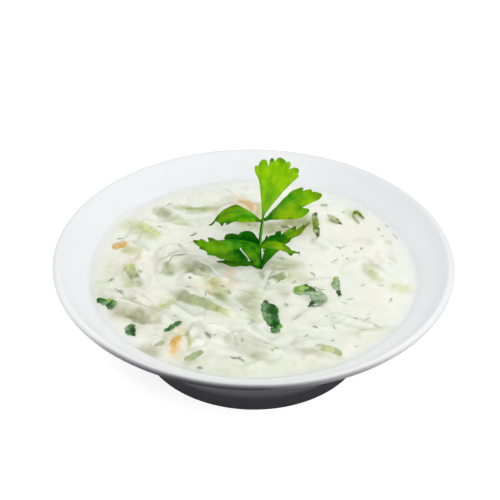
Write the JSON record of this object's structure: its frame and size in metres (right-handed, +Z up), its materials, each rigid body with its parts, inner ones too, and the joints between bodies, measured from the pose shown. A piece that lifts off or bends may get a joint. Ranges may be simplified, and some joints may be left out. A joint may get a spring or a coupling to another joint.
{
  "type": "tzatziki dip",
  "caption": "Wide flared bowl of thick yogurt dip, lumpy with cucumber strips, with scraps of herb and carrot on top and a parsley sprig standing in it.",
  "frame": {"origin": "centre of the circle that the foot stands on", "axes": "+Z up out of the bowl, +X to the right and -Y towards a viewer who faces the broad side of the sprig"},
  "size_m": [0.19, 0.19, 0.0946],
  "materials": {
    "porcelain": "glossy white glaze, charcoal outside",
    "yogurt": "moist, softly glossy cream",
    "parsley": "satin leaf",
    "cucumber": "wet translucent flesh with green peel",
    "herb": "wet chopped leaf",
    "carrot": "wet shred"
  },
  "bodies": {
    "root": {"bowl": "porcelain", "dip": "yogurt", "parsley_sprig": "parsley", "cucumber_slice": "cucumber", "cucumber_strip_1": "cucumber", "cucumber_strip_2": "cucumber", "cucumber_strip_3": "cucumber", "cucumber_strip_4": "cucumber", "cucumber_strip_5": "cucumber", "cucumber_strip_6": "cucumber", "cucumber_strip_7": "cucumber", "cucumber_strip_8": "cucumber", "herb_1": "herb", "herb_2": "herb", "herb_3": "herb", "herb_4": "herb", "herb_5": "herb", "herb_6": "herb", "herb_7": "herb", "herb_8": "herb", "herb_9": "herb", "herb_10": "herb", "carrot_1": "carrot", "carrot_2": "carrot", "carrot_3": "carrot"}
  },
  "joints": []
}
